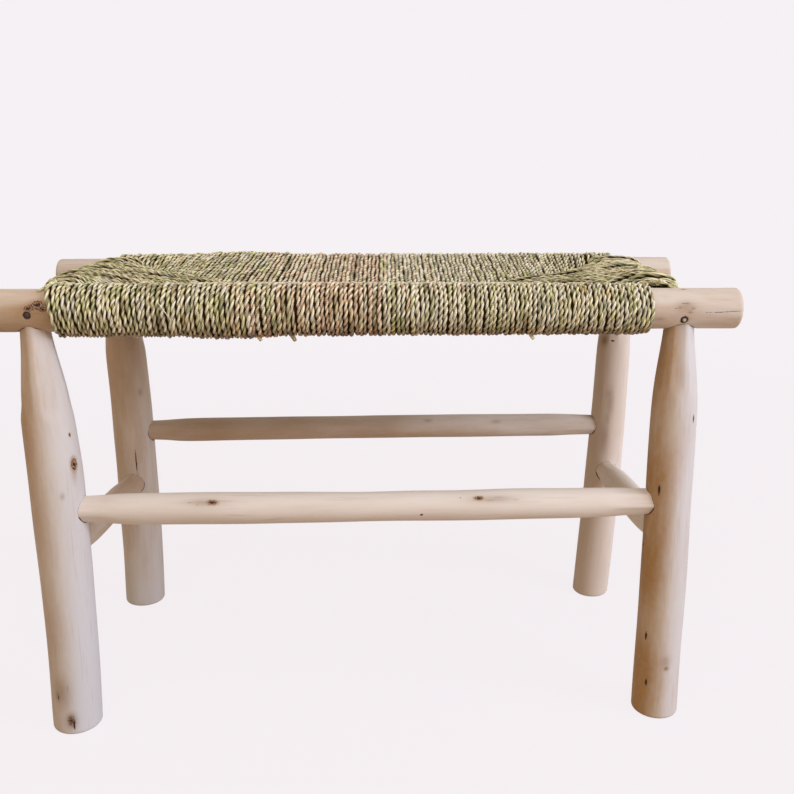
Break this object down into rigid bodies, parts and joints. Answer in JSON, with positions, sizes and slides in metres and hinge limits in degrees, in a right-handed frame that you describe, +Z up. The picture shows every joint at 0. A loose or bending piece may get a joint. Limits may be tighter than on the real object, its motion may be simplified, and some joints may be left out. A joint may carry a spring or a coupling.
{
  "type": "woven seat bench",
  "caption": "Low bench of peeled round poles with pegged round-tenon joints, stretchers and a seat of twisted palm cord wrapped in an envelope pattern.",
  "frame": {"origin": "on the floor under the middle of the bench", "axes": "+X along the bench to the right seen from the front, front faces -Y, +Z up"},
  "size_m": [0.75, 0.3409, 0.4559],
  "materials": {
    "pole_wood": "peeled and sanded raw hardwood pole, pale with tan streaks and small knots",
    "peg_wood": "darker split hardwood peg",
    "palm_cord": "two-ply twisted palm leaf cord, straw to olive green"
  },
  "bodies": {
    "root": {"front_rail": "pole_wood", "rear_rail": "pole_wood", "left_end_rail": "pole_wood", "right_end_rail": "pole_wood", "front_left_leg": "pole_wood", "front_right_leg": "pole_wood", "rear_left_leg": "pole_wood", "rear_right_leg": "pole_wood", "front_stretcher": "pole_wood", "rear_stretcher": "pole_wood", "left_stretcher": "pole_wood", "right_stretcher": "pole_wood", "front_left_peg": "peg_wood", "front_right_peg": "peg_wood", "rear_left_peg": "peg_wood", "rear_right_peg": "peg_wood", "front_seat_weave": "palm_cord", "rear_seat_weave": "palm_cord", "left_seat_weave": "palm_cord", "right_seat_weave": "palm_cord"}
  },
  "joints": []
}
